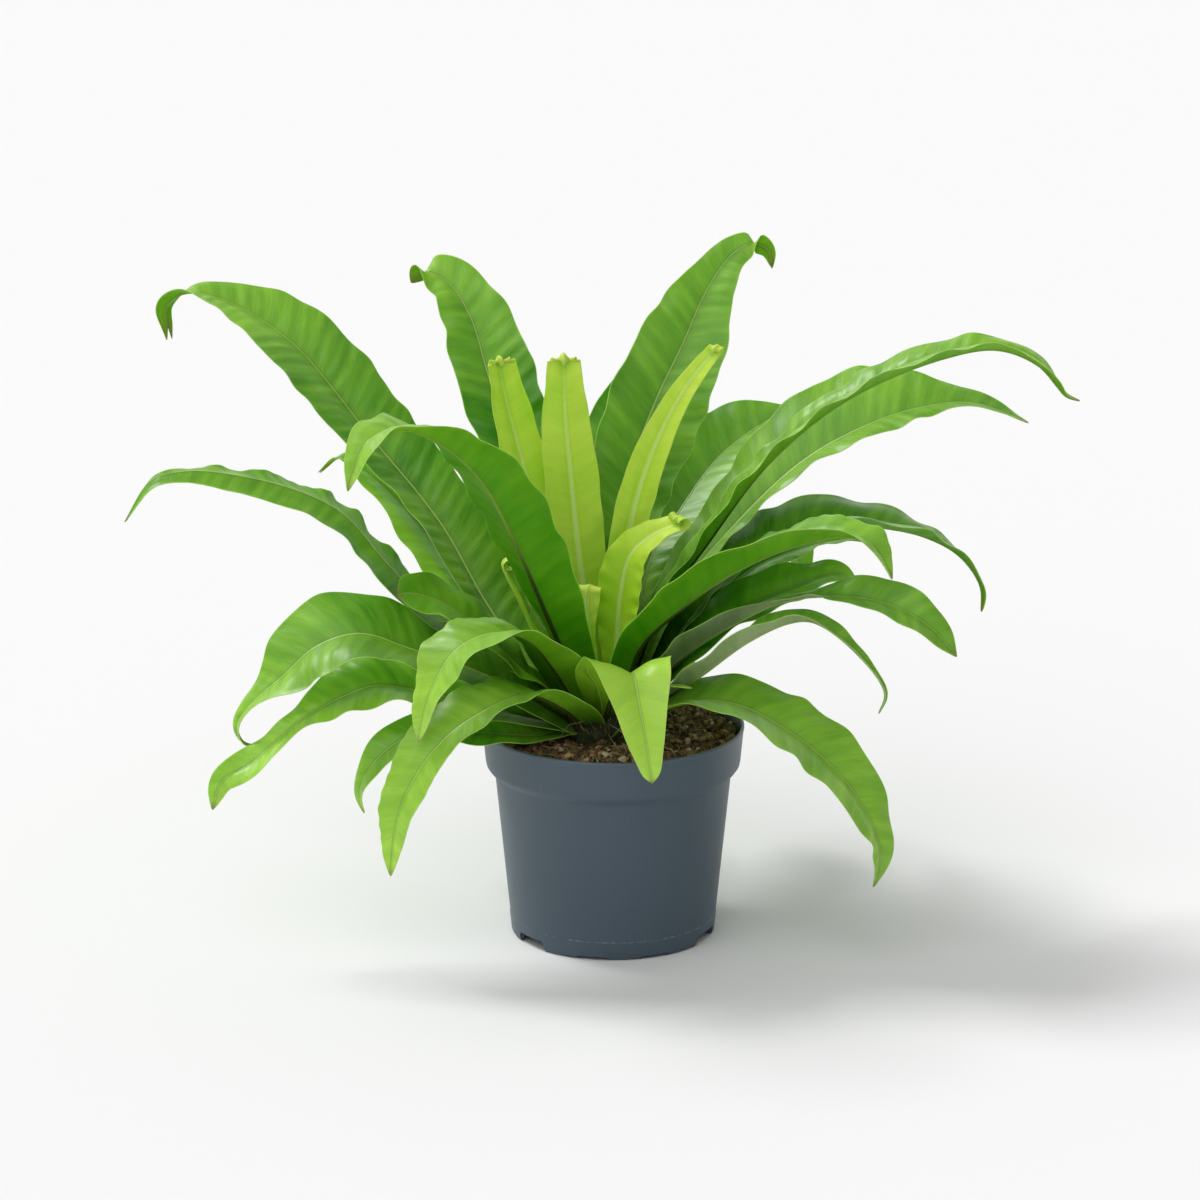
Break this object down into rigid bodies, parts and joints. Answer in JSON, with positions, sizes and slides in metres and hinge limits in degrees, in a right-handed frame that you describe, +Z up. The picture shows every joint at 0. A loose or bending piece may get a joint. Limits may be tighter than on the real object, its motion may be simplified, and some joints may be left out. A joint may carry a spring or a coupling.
{
  "type": "potted japanese birds nest fern",
  "caption": "Bird's nest fern with long wavy strap fronds arching from a short crown, in a round banded nursery pot filled with peat.",
  "frame": {"origin": "middle of the flat pad under the pot, which the pot stands on", "axes": "+Z up along the pot's axis, the front of the plant faces -Y, +X to the viewer's right along the widest spread of the fronds"},
  "size_m": [0.4723, 0.2994, 0.3368],
  "materials": {
    "pot": "satin slate grey thin-walled plastic",
    "soil": "loose moist peat with pale fibres",
    "crown": "dark scaly rhizome and leaf bases",
    "frond": "glossy mid green upper side, matt olive underside",
    "young_frond": "satin yellow-green"
  },
  "bodies": {
    "root": {"pot": "pot", "soil": "soil", "crown": "crown", "young_frond_middle": "young_frond", "young_frond_left": "young_frond", "young_frond_right": "young_frond", "young_frond_bent": "young_frond", "crozier_middle": "young_frond", "crozier_left": "young_frond", "tall_frond_left": "frond", "tall_frond_back_left": "frond", "tall_frond_back_right": "frond", "frond_behind_middle": "frond", "frond_back_right": "frond", "long_frond_right": "frond", "frond_right_under": "frond", "frond_left_under": "frond", "long_frond_left": "frond", "inner_frond_left": "frond", "broad_frond_right": "frond", "tailed_frond_right": "frond", "low_frond_back_right": "frond", "frond_right_middle": "frond", "twisted_frond_right": "frond", "thin_frond_right": "frond", "front_frond_right": "frond", "front_frond": "frond", "tiny_frond": "frond", "front_frond_left": "frond", "low_front_frond_left": "frond", "low_frond_left": "frond", "looped_frond_left": "frond", "twisted_frond_left": "frond", "short_frond_left": "frond", "back_frond_right": "frond", "back_frond_middle": "frond", "back_frond_left": "frond", "low_back_frond_left": "frond", "low_back_frond_right": "frond"}
  },
  "joints": []
}
